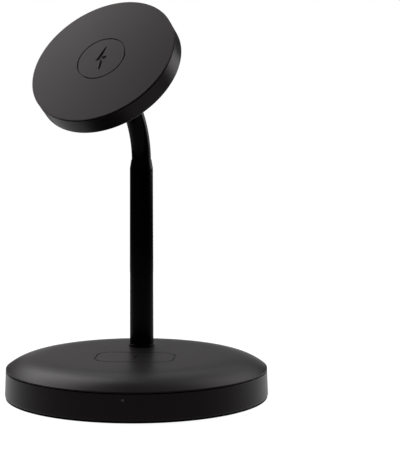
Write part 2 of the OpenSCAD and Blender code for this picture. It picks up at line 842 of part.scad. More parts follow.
// Cup of the head with the ball's socket in a boss on its back
module head_rear_housing() {
    swell = boss_root_d / 2 - boss_mouth_d / 2;
    color(skin) on_head() difference() {
        union() {
            rotate_extrude($fn = 128) polygon(concat(
                [[0, head_reach]],
                [for (t = [-90:22.5:0]) [head_r - back_edge_r + back_edge_r * cos(t),
                    head_reach + back_edge_r + back_edge_r * sin(t)]],
                [[head_r, gap_low], [head_r - face_gap_deep, gap_low],
                 [head_r - face_gap_deep, lip_low], [head_in, lip_low], [head_in, floor_in],
                 [0, floor_in]]
            ));
            rotate_extrude($fn = 96) polygon(concat(
                [[0, boss_low], [boss_mouth_d / 2 - boss_edge, boss_low],
                 [boss_mouth_d / 2, boss_low + boss_edge]],
                [for (t = [15:15:90]) [boss_mouth_d / 2 + swell * sin(t),
                    boss_low + boss_edge + (boss_l - boss_edge) * (1 - cos(t))]],
                [[boss_root_d / 2, floor_in], [0, floor_in]]
            ));
        }
        translate([0, 0, ball_at]) sphere(r = socket_r, $fn = 96);
        translate([0, 0, spigot_low - fit_gap])
            cylinder(r = spigot_r + seat_gap, h = floor_in, $fn = 96);
        translate([0, 0, ball_at]) mirror([0, 0, 1])
            cylinder(r1 = 0, r2 = 3 * ball_r * tan(socket_mouth_a), h = 3 * ball_r, $fn = 96);
        around(cap_screw_n, 90) translate([cap_screw_ring, 0, head_reach - cap_screw_deep])
            cylinder(d = cap_screw_d + 2 * seat_gap, h = cap_screw_deep + head_floor + cut);
    }
}

// Cap that closes the socket from inside the head
module ball_cap() {
    color(natural) on_head() difference() {
        union() {
            translate([0, 0, spigot_low])
                cylinder(r = spigot_r, h = floor_in - spigot_low + cut, $fn = 96);
            translate([0, 0, floor_in]) cylinder(r = cap_flange_r, h = cap_t, $fn = 96);
        }
        translate([0, 0, ball_at]) sphere(r = socket_r, $fn = 96);
        translate([0, 0, ball_at]) cylinder(r = lead_way_r, h = 3 * ball_r);
        around(cap_screw_n, 90) translate([cap_screw_ring, 0, floor_in - cut])
            cylinder(d = cap_screw_d + 2 * fit_gap, h = cap_t + 2 * cut);
    }
}

// Screws that hold the ball's cap
module cap_screws() {
    color(steel) on_head() around(cap_screw_n, 90)
        translate([cap_screw_ring, 0, floor_in + cap_t]) {
            cylinder(d = cap_screw_head_d, h = cap_screw_head_h);
            translate([0, 0, 0.1 - cap_t - cap_screw_l])
                cylinder(d = cap_screw_d, h = cap_t + cap_screw_l);
        }
}

// Ring board of the head round the ball's cap
module head_board() {
    color(board_green) on_head()
        ring(cap_flange_r + free_gap, carrier_in - free_gap, floor_in, hboard_t);
}

// Moulded ring that carries the magnets and, on its lip, the ferrite and coil
module magnet_carrier() {
    lip_top = hferrite_z - seat_gap;
    plate_seat = plate_z - seat_gap;
    color(natural) on_head() rotate_extrude($fn = 96) polygon([
        [carrier_in, floor_in], [carrier_out, floor_in], [carrier_out, plate_seat],
        [carrier_in - 0.2, plate_seat], [carrier_in - 0.2, lip_top],
        [carrier_in - carrier_lip_w, lip_top], [carrier_in - carrier_lip_w, lip_top - carrier_lip_t],
        [carrier_in, lip_top - carrier_lip_t]
    ]);
}

// Steel plate that closes the magnets' field behind
module magnet_backplate() {
    color(steel) on_head() ring(carrier_in, carrier_out, plate_z, plate_t);
}

// Ring of arc magnets, with the gap at the bottom that such rings have
module magnet_ring() {
    pitch = (360 - magnet_gap_a) / magnet_n;
    color(magnet) on_head() for (i = [0:magnet_n - 1])
        sector(magnet_in, magnet_out, -90 + magnet_gap_a / 2 + pitch * (i + 0.5),
            pitch / 2 - magnet_split_a, magnet_z, magnet_t);
}

// Ferrite disc behind the head's coil
module head_ferrite() {
    color(ferrite) on_head() translate([0, 0, hferrite_z])
        cylinder(d = head_coil_d + 2, h = hferrite_t, $fn = 96);
}

// Flat coil of round wire under the face
module head_coil() {
    turns = floor((head_coil_d - head_coil_in) / 2 / head_wire);
    color(copper) on_head() translate([0, 0, hcoil_top - head_wire / 2]) rotate_extrude($fn = 96)
        union() {
            for (i = [0:turns - 1])
                translate([head_coil_in / 2 + head_wire * (i + 0.5), 0])
                    circle(d = head_wire, $fn = 16);
            translate([head_coil_in / 2 + head_wire / 2, -head_wire / 4])
                square([head_wire * (turns - 1), head_wire / 2]);
        }
}

// Heat sensor in the middle of the coil
module head_thermistor() {
    l = 3;
    w = 2;
    low = hferrite_z + hferrite_t + seat_gap;
    color(white) on_head() translate([-l / 2, -w / 2, low])
        cube([l, w, hcoil_top - seat_gap - low]);
}

// Lead from the ball's bore to the ring board
module head_lead() {
    r = 0.5;
    z = floor_in + cap_t + fit_gap + r;
    start = ball_at + ball_r + free_gap;
    over_board = 2;
    color(rubber_black) on_head() {
        translate([0, 0, start]) cylinder(r = r, h = z - start);
        translate([0, 0, z]) sphere(r = r);
        translate([0, 0, z]) rotate([90, 0, 0]) cylinder(r = r, h = cap_flange_r + over_board);
    }
}

// Face of the head, with an engraved ring and charge sign
module head_face_plate() {
    color(face_black) on_head() difference() {
        rotate_extrude($fn = 128) polygon(concat([
            [0, face_low], [head_in - fit_gap, face_low], [head_in - fit_gap, lip_low],
            [head_r, lip_low], [head_r, face_high - 0.1], [head_r - 0.1, face_high]],
            [for (i = [1:crown_steps]) let (r = (head_r - 0.1) * (1 - i / crown_steps))
                [r, crown(r)]]
        ));
        ring((ring_mark_d - ring_mark_w) / 2, (ring_mark_d + ring_mark_w) / 2,
            mark_floor, face_crown);
        translate([0, 0, mark_floor]) linear_extrude(face_crown) bolt_sign(bolt_h);
    }
}

base_housing();
base_top_cover();
foot_ring();
base_weight();
base_screws();
main_board();
board_parts();
board_screws();
usb_c_shell();
usb_c_tongue();
status_lamp();
lamp_window();
earbud_coil();
earbud_ferrite();
coil_tray();
post();
post_collar();
post_washer();
post_nut();
swivel_bush();
base_lead();
neck_tube();
swivel_washer();
neck_clip();
neck_lead();
ball_stud();
ball_liner();
head_rear_housing();
ball_cap();
cap_screws();
head_board();
magnet_carrier();
magnet_backplate();
magnet_ring();
head_ferrite();
head_coil();
head_thermistor();
head_lead();
head_face_plate();
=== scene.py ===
"""A two-in-one wireless charging stand in satin black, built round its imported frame."""
import math

import bpy
from mathutils import Matrix, Vector


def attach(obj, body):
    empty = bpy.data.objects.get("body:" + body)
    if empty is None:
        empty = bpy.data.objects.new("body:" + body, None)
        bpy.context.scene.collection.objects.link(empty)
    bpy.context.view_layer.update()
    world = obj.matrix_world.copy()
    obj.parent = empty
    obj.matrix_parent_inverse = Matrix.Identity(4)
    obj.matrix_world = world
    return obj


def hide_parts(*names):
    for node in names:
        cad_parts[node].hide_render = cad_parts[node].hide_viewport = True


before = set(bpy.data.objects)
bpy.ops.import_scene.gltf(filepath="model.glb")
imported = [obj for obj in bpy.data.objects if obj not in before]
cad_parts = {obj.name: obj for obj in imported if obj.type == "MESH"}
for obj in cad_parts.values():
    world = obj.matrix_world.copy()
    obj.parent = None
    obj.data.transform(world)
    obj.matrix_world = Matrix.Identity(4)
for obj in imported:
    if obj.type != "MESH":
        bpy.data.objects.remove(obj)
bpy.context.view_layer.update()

# The studio: a long lens level with the head, tipped a little down. The lens is given by its
# focal length in pixels of a frame 400 wide and 475 high.
FOCAL_PX = 1500
FRAME_HIGH_PX = 475
SENSOR_MM = 36
EYE = (0.05879, -0.58832, 0.12242)
SIGHT_TURN = math.radians(3.275)
SIGHT_TIP = math.radians(-5.73)
SIGHT_ROLL = math.radians(0.12)

camera_data = bpy.data.cameras.new("studio_camera")
camera_data.sensor_width = SENSOR_MM
camera_data.lens = FOCAL_PX * SENSOR_MM / FRAME_HIGH_PX
camera = bpy.data.objects.new("studio_camera", camera_data)
bpy.context.scene.collection.objects.link(camera)
camera.matrix_world = (
    Matrix.Translation(EYE)
    @ Matrix.Rotation(SIGHT_TURN, 4, "Z")
    @ Matrix.Rotation(math.radians(90) + SIGHT_TIP, 4, "X")
    @ Matrix.Rotation(SIGHT_ROLL, 4, "Z")
)
bpy.context.scene.camera = camera
bpy.context.scene.view_settings.view_transform = "Standard"

# The floor: a white table top that shines white to the eye and to gloss, and is pale grey for the
# light that it gives. Its glow is left out under the stand: painted shadow, over the grey floor's
# real shade.
FLOOR_R = 0.4
FLOOR_DROP = 0.00002
PAINTED_SHADOW_R = 0.0521
FLOOR_WHITE = 0.94
FLOOR_GREY = (0.25, 0.25, 0.25)
FLOOR_TURNS = 72


class Wire:
    """One socket of a node tree, with Python's operators for its maths."""

    def __init__(self, works, socket):
        self.works = works
        self.socket = socket

    def maths(self, operation, *terms):
        return self.works.node("ShaderNodeMath", {"operation": operation}, *terms)

    def __add__(self, other):
        return self.maths("ADD", self, other)

    __radd__ = __add__

    def __mul__(self, other):
        return self.maths("MULTIPLY", self, other)

    __rmul__ = __mul__

    def __sub__(self, other):
        return self.maths("SUBTRACT", self, other)

    def __rsub__(self, other):
        return self.maths("SUBTRACT", other, self)

    def __truediv__(self, other):
        return self.maths("DIVIDE", self, other)

    def __gt__(self, other):
        return self.maths("GREATER_THAN", self, other)

    def __or__(self, other):
        return self.maths("MAXIMUM", self, other)

    def __and__(self, other):
        return self.maths("MINIMUM", self, other)


class Works:
    """A node tree and the one way in which its nodes are made and wired."""

    def __init__(self, tree):
        self.tree = tree

    def node(self, kind, settings=None, *values, out=0, **named):
        """Any node: its settings first, then its sockets by order or by name."""
        made = self.tree.nodes.new(kind)
        for key, value in (settings or {}).items():
            setattr(made, key, value)
        sockets = list(enumerate(values)) + [
            (name.replace("_", " "), value) for name, value in named.items()
        ]
        for key, value in sockets:
            self.feed(made.inputs[key], value)
        return Wire(self, made.outputs[out])

    def feed(self, socket, value):
        if isinstance(value, Wire):
            self.tree.links.new(value.socket, socket)
        elif value is not None:
            if socket.type == "RGBA" and len(value) == 3:
                value = (*value, 1)
            socket.default_value = value

    def seen(self):
        """1 for what the eye, a reflection or a look through glass meets, else 0."""
        return (
            self.node("ShaderNodeLightPath", out="Is Camera Ray")
            | self.node("ShaderNodeLightPath", out="Is Glossy Ray")
            | self.node("ShaderNodeLightPath", out="Is Transmission Ray")
        )


class Finish(Works):
    """A material under the name of the finish that it gives."""

    def __init__(self, name):
        self.material = bpy.data.materials.new(name)
        self.material.use_nodes = True
        super().__init__(self.material.node_tree)
        self.tree.nodes.clear()
        self.output = self.tree.nodes.new("ShaderNodeOutputMaterial")

    def place(self):
        return self.node("ShaderNodeTexCoord", out="Object")

    def noise(self, scale, detail=3, roughness=0.5):
        return self.node(
            "ShaderNodeTexNoise", {}, Vector=self.place(), Scale=scale, Detail=detail,
            Roughness=roughness, out="Fac",
        )

    def spread(self, wire, low, high, start=0.0, end=1.0):
        """Stretches a wire that runs from start to end to run from low to high."""
        return self.node(
            "ShaderNodeMapRange", {}, wire, start, end, low, high, out="Result"
        )

    def blend(self, share, first, second):
        made = self.tree.nodes.new("ShaderNodeMix")
        made.data_type = "RGBA"
        self.feed(made.inputs["Factor"], share)
        for name, value in (("A_Color", first), ("B_Color", second)):
            self.feed(next(s for s in made.inputs if s.identifier == name), value)
        return Wire(self, next(s for s in made.outputs if s.identifier == "Result_Color"))

    def bump(self, height, distance, strength=1.0):
        return self.node(
            "ShaderNodeBump", {}, Strength=strength, Distance=distance, Height=height,
            out="Normal",
        )

    def surface(self, **sockets):
        """Ends the material in a Principled surface."""
        shader = self.node("ShaderNodeBsdfPrincipled", {}, **sockets)
        self.tree.links.new(shader.socket, self.output.inputs["Surface"])
        return self.material


def put(name, mesh):
    """Sets a mesh in the scene as an object of that name."""
    thing = bpy.data.objects.new(name, mesh)
    bpy.context.scene.collection.objects.link(thing)
    return thing


def drawn(name, corners, edges=(), faces=()):
    mesh = bpy.data.meshes.new(name)
    mesh.from_pydata([tuple(corner) for corner in corners], list(edges), list(faces))
    return mesh


def wear(thing, material):
    thing.data.materials.clear()
    thing.data.materials.append(material)


floor_finish = Finish("white_table_top")
floor_way = floor_finish.node(
    "ShaderNodeVectorMath", {"operation": "LENGTH"}, floor_finish.place(), out="Value"
)
# Painted shadow: the floor's white glow stops at the rim of the stand's foot, so the floor under
# the stand is dark.
floor_white = floor_finish.surface(
    Base_Color=FLOOR_GREY, Roughness=0.9, Specular_IOR_Level=0.0,
    Emission_Color=floor_finish.seen() * (floor_way > PAINTED_SHADOW_R) * FLOOR_WHITE,
    Emission_Strength=1.0,
)
floor_turns = [math.radians(360 * i / FLOOR_TURNS) for i in range(FLOOR_TURNS)]
table_top = put("white_table_top", drawn(
    "white_table_top",
    [(FLOOR_R * math.cos(a), FLOOR_R * math.sin(a), -FLOOR_DROP) for a in floor_turns],
    faces=[range(FLOOR_TURNS)],
))
wear(table_top, floor_white)

# The studio's air is the white backdrop. It is white to the eye, to gloss and to a look
# through glass, and dim for the light that it gives.
AIR_DIM = 0.08
air = bpy.data.worlds.new("studio_air")
bpy.context.scene.world = air
air.use_nodes = True
air_works = Works(air.node_tree)
air_background = air.node_tree.nodes["Background"]
air_works.feed(
    air_background.inputs["Color"], AIR_DIM + air_works.seen() * (1 - AIR_DIM)
)

# Dark screens stand round the table, as flags do where black goods are photographed, but only
# gloss sees
# them: their dim grey glow, lighter on the left and darker on the right, is a painted reflection
# that keeps the edges of black tubes black. They leave the backdrop free where the picture shows
# it, so gloss meets its white there.
SCREEN_R = 3.0
SCREEN_LOW, SCREEN_HIGH, ABOVE_FRAME = -0.8, 1.15, 0.34
FRAME_LEFT_A, FRAME_RIGHT_A, SCREEN_STEP_A = -15, 10, 5
SCREEN_LEFT, SCREEN_RIGHT = (0.14, 0.12, 0.124), (0.05, 0.043, 0.045)
SHADE_LEFT_X, SHADE_RIGHT_X = -0.55, 0.0
# Painted reflection: a grey glow seen only in gloss, shading from lighter on the left to darker
# on the right.
reflection_screen_finish = Finish("dark_screen_cloth")
painted_reflection_grey = reflection_screen_finish.surface(
    Base_Color=(0, 0, 0), Roughness=1.0, Specular_IOR_Level=0.0, Emission_Strength=1.0,
    Emission_Color=reflection_screen_finish.blend(
        reflection_screen_finish.spread(
            reflection_screen_finish.node("ShaderNodeSeparateXYZ", {}, reflection_screen_finish.place()),
            0.0, 1.0, SHADE_LEFT_X, SHADE_RIGHT_X,
        ),
        SCREEN_LEFT, SCREEN_RIGHT,
    ),
)
screen_corners = []
for bearing in range(-180, 180, SCREEN_STEP_A):
    behind = FRAME_LEFT_A <= bearing < FRAME_RIGHT_A
    for a in (math.radians(bearing), math.radians(bearing + SCREEN_STEP_A)):
        for z in (ABOVE_FRAME if behind else SCREEN_LOW, SCREEN_HIGH):
            screen_corners.append((SCREEN_R * math.sin(a), SCREEN_R * math.cos(a), z))
screen = put("dark_screen", drawn(
    "dark_screen", screen_corners,
    faces=[(i, i + 1, i + 3, i + 2) for i in range(0, len(screen_corners), 4)],
))
wear(screen, painted_reflection_grey)
for ray in ("camera", "diffuse", "transmission", "volume_scatter", "shadow"):
    setattr(screen, "visible_" + ray, False)

# Three soft lamps stand behind the stand and to its sides: a large one high on the left, a
# smaller one high on the right, and a low strip on the right that lights the head's edge.


def softbox(name, azimuth, elevation, distance, wide, high, radiance):
    """A flat soft light, set by its bearing from straight behind and its height angle."""
    a, e = math.radians(azimuth), math.radians(elevation)
    place = distance * Vector((
        math.sin(a) * math.cos(e), math.cos(a) * math.cos(e), math.sin(e)
    ))
    data = bpy.data.lights.new(name, "AREA")
    data.shape = "RECTANGLE"
    data.size, data.size_y = wide, high
    data.energy = radiance * math.pi * wide * high
    lamp = put(name, data)
    lamp.matrix_world = (
        Matrix.Translation(place) @ (-place).to_track_quat("-Z", "Y").to_matrix().to_4x4()
    )


softbox(
    "softbox_left", azimuth=-58, elevation=47, distance=1.0, wide=1.1, high=0.55, radiance=3.7
)
softbox(
    "softbox_right", azimuth=48, elevation=45, distance=1.0, wide=0.6, high=0.5, radiance=2.6
)
softbox(
    "low_strip_right", azimuth=58, elevation=9, distance=1.0, wide=0.75, high=0.2, radiance=5.0
)


# The housing of the base is moulded in black plastic with a fine satin texture. The cover
# and the back of the head are moulded in the same.
MM = 0.001
BASE_R, RIM_R = 52.4, 51.95
SEAM_LOW, SEAM_HIGH, SEAM_DEEP = 10.75, 11.15, 1.0
FOOT_DROP, FLOOR_TOP, INNER_R = 0.6, 2.6, 50.2
FOOT_R, FOOT_IN_R, FOOT_T, FOOT_GAP = 48.0, 38.0, 1.3, 0.1
EDGE_CRISP, EDGE_SMALL, EDGE_SOFT, EDGE_LOW = 0.1, 0.2, 0.5, 0.6
SHARP_A = math.radians(32)
WELD_GAP = 1e-7
SUNK, PAST = 0.5, 1

WARM_SHEEN = (1, 0.86, 0.89, 1)
satin_black = Finish("satin_black_plastic")
cloud = satin_black.noise(35, 2)
shell_black = satin_black.surface(
    Base_Color=satin_black.blend(cloud, (0.0035, 0.003, 0.0033), (0.0055, 0.0047, 0.0051)),
    Roughness=satin_black.spread(cloud, 0.33, 0.38), Specular_IOR_Level=0.095,
    Specular_Tint=WARM_SHEEN, Normal=satin_black.bump(satin_black.noise(2600, 2), 0.00002, 0.4),
)


def rounded(corners, steps=4):
    """A turned outline in millimetres, (radius, height, rounding), with its corners rounded.

    A straight side with room for it gets one more point near each rounding, so that its
    shading stays flat.
    """
    lead_in, lead_room = 1.6, 3
    path = []
    last = len(corners) - 1
    for i, (r, z, *rounding) in enumerate(corners):
        here = Vector((r, z))
        if not rounding or i in (0, last):
            path.append(here)
            continue
        before = Vector(corners[i - 1][:2]) - here
        after = Vector(corners[i + 1][:2]) - here
        b, a = before.normalized(), after.normalized()
        half = b.angle(a) / 2
        reach = rounding[0] / math.tan(half)
        middle = here + (a + b).normalized() * rounding[0] / math.sin(half)
        start, end = here + b * reach - middle, here + a * reach - middle
        sweep = start.angle_signed(end)
        if before.length > lead_room * reach:
            path.append(here + b * reach * lead_in)
        for step in range(steps + 1):
            turn = -sweep * step / steps
            path.append(middle + Vector((
                start.x * math.cos(turn) - start.y * math.sin(turn),
                start.x * math.sin(turn) + start.y * math.cos(turn),
            )))
        if after.length > lead_room * reach:
            path.append(here + a * reach * lead_in)
    return path


class Shaping(Works):
    """A Geometry Nodes tree with named inputs for its sizes."""

    def __init__(self, name, **inputs):
        super().__init__(bpy.data.node_groups.new(name, "GeometryNodeTree"))
        sockets = self.tree.interface
        sockets.new_socket("Geometry", in_out="OUTPUT", socket_type="NodeSocketGeometry")
        sockets.new_socket("Geometry", in_out="INPUT", socket_type="NodeSocketGeometry")
        for label, kind in (*inputs.items(), ("Material", "NodeSocketMaterial")):
            sockets.new_socket(label, in_out="INPUT", socket_type=kind)
        self.start = self.tree.nodes.new("NodeGroupInput")
        self.end = self.tree.nodes.new("NodeGroupOutput")

    def given(self, name="Geometry"):
        return Wire(self, self.start.outputs[name])

    def closed(self, shape):
        """Ends the tree in plain faces with their material."""
        plain = self.node("GeometryNodeRealizeInstances", {}, shape)
        clad = self.node(
            "GeometryNodeSetMaterial", {}, Geometry=plain, Material=self.given("Material")
        )
        self.feed(self.end.inputs[0], clad)

    def shape(self, thing, **sizes):
        """Runs the tree on an object, which then holds the plain result."""
        modifier = thing.modifiers.new("shaping", "NODES")
        modifier.node_group = self.tree
        for item in self.tree.interface.items_tree:
            if item.name in sizes:
                modifier[item.identifier] = sizes[item.name]
        return settled(thing)


def settled(thing):
    """Makes what the modifiers give the object's own plain mesh, and takes them off."""
    graph = bpy.context.evaluated_depsgraph_get()
    mesh = bpy.data.meshes.new_from_object(thing.evaluated_get(graph))
    thing.modifiers.clear()
    thing.data = mesh
    mesh.name = thing.name
    while len(mesh.materials) > 1 and mesh.materials[0] is None:
        mesh.materials.pop(index=0)
    mesh.shade_smooth()
    mesh.set_sharp_from_angle(angle=SHARP_A)
    return thing


# The lathe: a grid with one row for each point of the outline is wound round the axis. The
# grid is 1 wide and 1 high about its middle, hence the halves.
lathe = Shaping("lathe", Turns="NodeSocketInt")
outline_points = lathe.node(
    "GeometryNodeAttributeDomainSize", {"component": "MESH"}, lathe.given(), out="Point Count"
)
sheet = lathe.node(
    "GeometryNodeMeshGrid", {}, 1.0, 1.0, outline_points, lathe.given("Turns") + 1
)
at = lathe.node("ShaderNodeSeparateXYZ", {}, lathe.node("GeometryNodeInputPosition"))
at_y = Wire(lathe, at.socket.node.outputs["Y"])
index = lathe.node(
    "FunctionNodeFloatToInt", {"rounding_mode": "ROUND"}, (at + 0.5) * (outline_points - 1)
)
point = lathe.node(
    "GeometryNodeSampleIndex", {"data_type": "FLOAT_VECTOR"}, Geometry=lathe.given(),
    Value=lathe.node("GeometryNodeInputPosition"), Index=index,
)
way_out = lathe.node("ShaderNodeSeparateXYZ", {}, point)
way_up = Wire(lathe, way_out.socket.node.outputs["Z"])
turn = (at_y + 0.5) * (2 * math.pi)
wound = lathe.node(
    "GeometryNodeSetPosition", {}, Geometry=sheet,
    Position=lathe.node(
        "ShaderNodeCombineXYZ", {},
        way_out * way_out.maths("COSINE", turn), way_out * way_out.maths("SINE", turn), way_up,
    ),
)
lathe.closed(lathe.node("GeometryNodeMergeByDistance", {}, Geometry=wound, Distance=WELD_GAP))


def turned(name, corners, material, turns=192):
    """Turns an outline in millimetres, listed clockwise, into a piece."""
    path = [(p.x * MM, 0, p.y * MM) for p in rounded(corners)]
    mesh = drawn(name, path, edges=[(i, i + 1) for i in range(len(path) - 1)])
    mesh.materials.append(material)
    return lathe.shape(put(name, mesh), Turns=turns, Material=material)


def prism(name, loops, low, high):
    """A straight cutter over one closed loop, or between an outer and an inner one."""
    n = len(loops[0])
    corners = [(x * MM, y * MM, z * MM) for loop in loops for z in (low, high) for x, y in loop]
    faces = [range(n - 1, -1, -1), range(n, 2 * n)] if len(loops) == 1 else []
    for i in range(n):
        j = (i + 1) % n
        faces.append((i, j, n + j, n + i))
        if len(loops) == 2:
            faces.append((2 * n + j, 2 * n + i, 3 * n + i, 3 * n + j))
            faces.append((j, i, 2 * n + i, 2 * n + j))
            faces.append((n + i, n + j, 3 * n + j, 3 * n + i))
    return put(name, drawn(name, corners, faces=faces))


def joined(piece, *others, how="UNION"):
    """Joins other shapes to a piece, or cuts them out of it, and deletes them."""
    for other in others:
        modifier = piece.modifiers.new("joint", "BOOLEAN")
        modifier.operation = how
        modifier.solver = "EXACT"
        modifier.object = other
    settled(piece)
    for other in others:
        bpy.data.objects.remove(other)


def cut(piece, *cutters):
    joined(piece, *cutters, how="DIFFERENCE")


def circle(radius, steps=32):
    return [
        (radius * math.cos(2 * math.pi * i / steps), radius * math.sin(2 * math.pi * i / steps))
        for i in range(steps)
    ]


def stadium(long, wide, radius, steps=8):
    """The outline of an oblong with round corners."""
    loop = []
    for corner in range(4):
        x = (long / 2 - radius) * (1, -1, -1, 1)[corner]
        y = (wide / 2 - radius) * (1, 1, -1, -1)[corner]
        for step in range(steps + 1):
            a = math.radians(90 * (corner + step / steps))
            loop.append((x + radius * math.cos(a), y + radius * math.sin(a)))
    return loop


# Pegs: one upright cylinder on each point of the mesh.
pegs = Shaping("pegs", Radius="NodeSocketFloat", Height="NodeSocketFloat")
peg = pegs.node(
    "GeometryNodeMeshCylinder", {"fill_type": "NGON"}, Vertices=32,
    Radius=pegs.given("Radius"), Depth=pegs.given("Height"),
)
pegs.closed(pegs.node("GeometryNodeInstanceOnPoints", {}, Points=pegs.given(), Instance=peg))


def set_out(name, places, diameter, low, high, material=None):
    """Like pegs at places in plan, in millimetres, from one height to another."""
    middle = (low + high) / 2
    mesh = drawn(name, [(x * MM, y * MM, middle * MM) for x, y in places])
    mesh.materials.append(material)
    return pegs.shape(
        put(name, mesh), Radius=diameter / 2 * MM, Height=(high - low) * MM, Material=material
    )


def fit(piece, body, node):
    """Lets a piece ride on a body and stand for that body's CAD node."""
    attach(piece, body)
    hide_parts(node)


SCREW_RING, SCREW_TOP, BOARD_LOW = 43, 6.2, 3.8
BOARD_X, BOARD_SCREW_Y, BOARD_REST_Y = 15.6, 30.9, 41
PILLAR_D, BOARD_PILLAR_D, BOARD_REST_D = 8, 5, 4
SCREW_HOLE_D, SCREW_RECESS_D, SCREW_RECESS_TOP = 3.2, 5.6, 3.3
BOARD_HOLE_D, BOARD_HOLE_LOW = 1.7, 1.4
screw_places = [
    (SCREW_RING * math.cos(math.radians(a)), SCREW_RING * math.sin(math.radians(a)))
    for a in (45, 135, 225, 315)
]
board_screw_places = [(-BOARD_X, BOARD_SCREW_Y), (BOARD_X, BOARD_SCREW_Y)]
board_rest_places = [(-BOARD_X, BOARD_REST_Y), (BOARD_X, BOARD_REST_Y)]
base_shell = turned("base_shell", [
    (0, FLOOR_TOP), (INNER_R, FLOOR_TOP, EDGE_SOFT), (INNER_R, SEAM_HIGH, EDGE_CRISP),
    (RIM_R - SEAM_DEEP, SEAM_HIGH, EDGE_CRISP), (RIM_R - SEAM_DEEP, SEAM_LOW, EDGE_CRISP),
    (RIM_R, SEAM_LOW, EDGE_SMALL), (BASE_R, FOOT_DROP, EDGE_LOW),
    (FOOT_R + FOOT_GAP, FOOT_DROP, EDGE_CRISP), (FOOT_R + FOOT_GAP, FOOT_T),
    (FOOT_IN_R - FOOT_GAP, FOOT_T), (FOOT_IN_R - FOOT_GAP, FOOT_DROP, EDGE_CRISP),
    (0, FOOT_DROP),
], shell_black)
joined(
    base_shell,
    set_out("screw_pillars", screw_places, PILLAR_D, FLOOR_TOP - SUNK, SCREW_TOP, shell_black),
    set_out(
        "board_pillars", board_screw_places, BOARD_PILLAR_D, FLOOR_TOP - SUNK, BOARD_LOW,
        shell_black,
    ),
    set_out(
        "board_rests", board_rest_places, BOARD_REST_D, FLOOR_TOP - SUNK, BOARD_LOW, shell_black,
    ),
)
PORT_Z, PORT_W, PORT_H, PORT_GAP = 6.63, 8.94, 3.26, 0.25
WINDOW_Z, WINDOW_R = 8.6, 0.52
WALL_NEAR, WALL_FAR, END_FLAT = 45, 60, 0.001
mouth_w, mouth_h = PORT_W + 2 * PORT_GAP, PORT_H + 2 * PORT_GAP
port_mouth = prism(
    "port_mouth", [stadium(mouth_w, mouth_h, mouth_h / 2 - END_FLAT)], -WALL_FAR, -WALL_NEAR
)
port_mouth.data.transform(
    Matrix.Translation((0, 0, PORT_Z * MM)) @ Matrix.Rotation(math.radians(90), 4, "X")
)
lamp_hole = prism("lamp_hole", [circle(WINDOW_R)], WALL_NEAR, WALL_FAR)
lamp_hole.data.transform(
    Matrix.Translation((0, 0, WINDOW_Z * MM)) @ Matrix.Rotation(math.radians(90), 4, "X")
)
cut(
    base_shell, port_mouth, lamp_hole,
    set_out("screw_holes", screw_places, SCREW_HOLE_D, -PAST, SCREW_TOP + PAST),
    set_out("screw_recesses", screw_places, SCREW_RECESS_D, -PAST, SCREW_RECESS_TOP),
    set_out(
        "board_holes", board_screw_places, BOARD_HOLE_D, BOARD_HOLE_LOW, BOARD_LOW + PAST
    ),
)
fit(base_shell, "base", "base_housing")

# The foot is a ring of black rubber pressed into a groove under the housing. Its edges are
# rounded by the mould.
FOOT_EDGE = 0.25


def mottled(name, dark, light, scale, smooth, rough, grain=0.00001, **rest):
    """A plain finish whose shade, roughness and skin vary a little over the piece."""
    made = Finish(name)
    mottle = made.noise(scale)
    return made.surface(
        Base_Color=made.blend(mottle, dark, light), Roughness=made.spread(mottle, smooth, rough),
        Normal=made.bump(made.noise(scale * 12, 2), grain, 0.5), **rest
    )


def dress(material, *nodes):
    """Gives CAD nodes that keep their shape a material."""
    for node in nodes:
        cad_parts[node].material_slots[0].material = material


foot_rubber = mottled(
    "black_rubber", (0.012, 0.012, 0.013), (0.02, 0.02, 0.022), 150, 0.7, 0.85, 0.00004,
    Specular_IOR_Level=0.3,
)
foot = turned("foot_rubber_ring", [
    (FOOT_IN_R, FOOT_T), (FOOT_R, FOOT_T), (FOOT_R, 0, FOOT_EDGE), (FOOT_IN_R, 0, FOOT_EDGE),
    (FOOT_IN_R, FOOT_T),
], foot_rubber)
fit(foot, "base", "foot_ring")

# A cast iron disc lies on the housing's floor and keeps the stand from tipping. Steel screws
# from below hold the base together, and small ones hold the board.
cast_iron = mottled(
    "cast_iron", (0.045, 0.045, 0.05), (0.09, 0.085, 0.08), 220, 0.55, 0.75, 0.00006,
    Metallic=0.7,
)
plain_steel = mottled(
    "zinc_plated_steel", (0.42, 0.42, 0.43), (0.6, 0.6, 0.59), 300, 0.25, 0.4, Metallic=1.0,
)
dress(cast_iron, "base_weight")
dress(plain_steel, "base_screws", "board_screws")

# The board carries the charging chips and the inlet. It is glass cloth under green solder
# mask, and its parts are moulded in black and soldered on.
solder_mask = mottled(
    "green_solder_mask", (0.008, 0.05, 0.022), (0.014, 0.08, 0.036), 180, 0.3, 0.42,
)
chip_black = mottled(
    "moulded_chip_black", (0.01, 0.01, 0.011), (0.02, 0.02, 0.02), 400, 0.5, 0.65,
)
dress(solder_mask, "main_board")
dress(chip_black, "board_parts", "usb_c_tongue")

# The inlet's shell is drawn from steel sheet. Twelve gold-plated contacts lie in a row on
# each face of its tongue.
CONTACT_N, CONTACT_PITCH, TONGUE_T = 12, 0.5, 0.7
CONTACT_W, CONTACT_L, CONTACT_T = 0.26, 3.4, 0.06
CONTACT_Y = 47.9
dress(plain_steel, "usb_c_shell")
gold_plate = mottled(
    "gold_plate", (0.75, 0.5, 0.16), (0.9, 0.64, 0.26), 900, 0.2, 0.32, Metallic=1.0,
)
row = Shaping("row", Count="NodeSocketInt", Pitch="NodeSocketFloat", Size="NodeSocketVector")
row_line = row.node(
    "GeometryNodeMeshLine", {}, Count=row.given("Count"),
    Offset=row.node("ShaderNodeCombineXYZ", {}, row.given("Pitch"), 0.0, 0.0),
)
row_bar = row.node("GeometryNodeMeshCube", {}, Size=row.given("Size"))
row.closed(row.node("GeometryNodeInstanceOnPoints", {}, Points=row_line, Instance=row_bar))
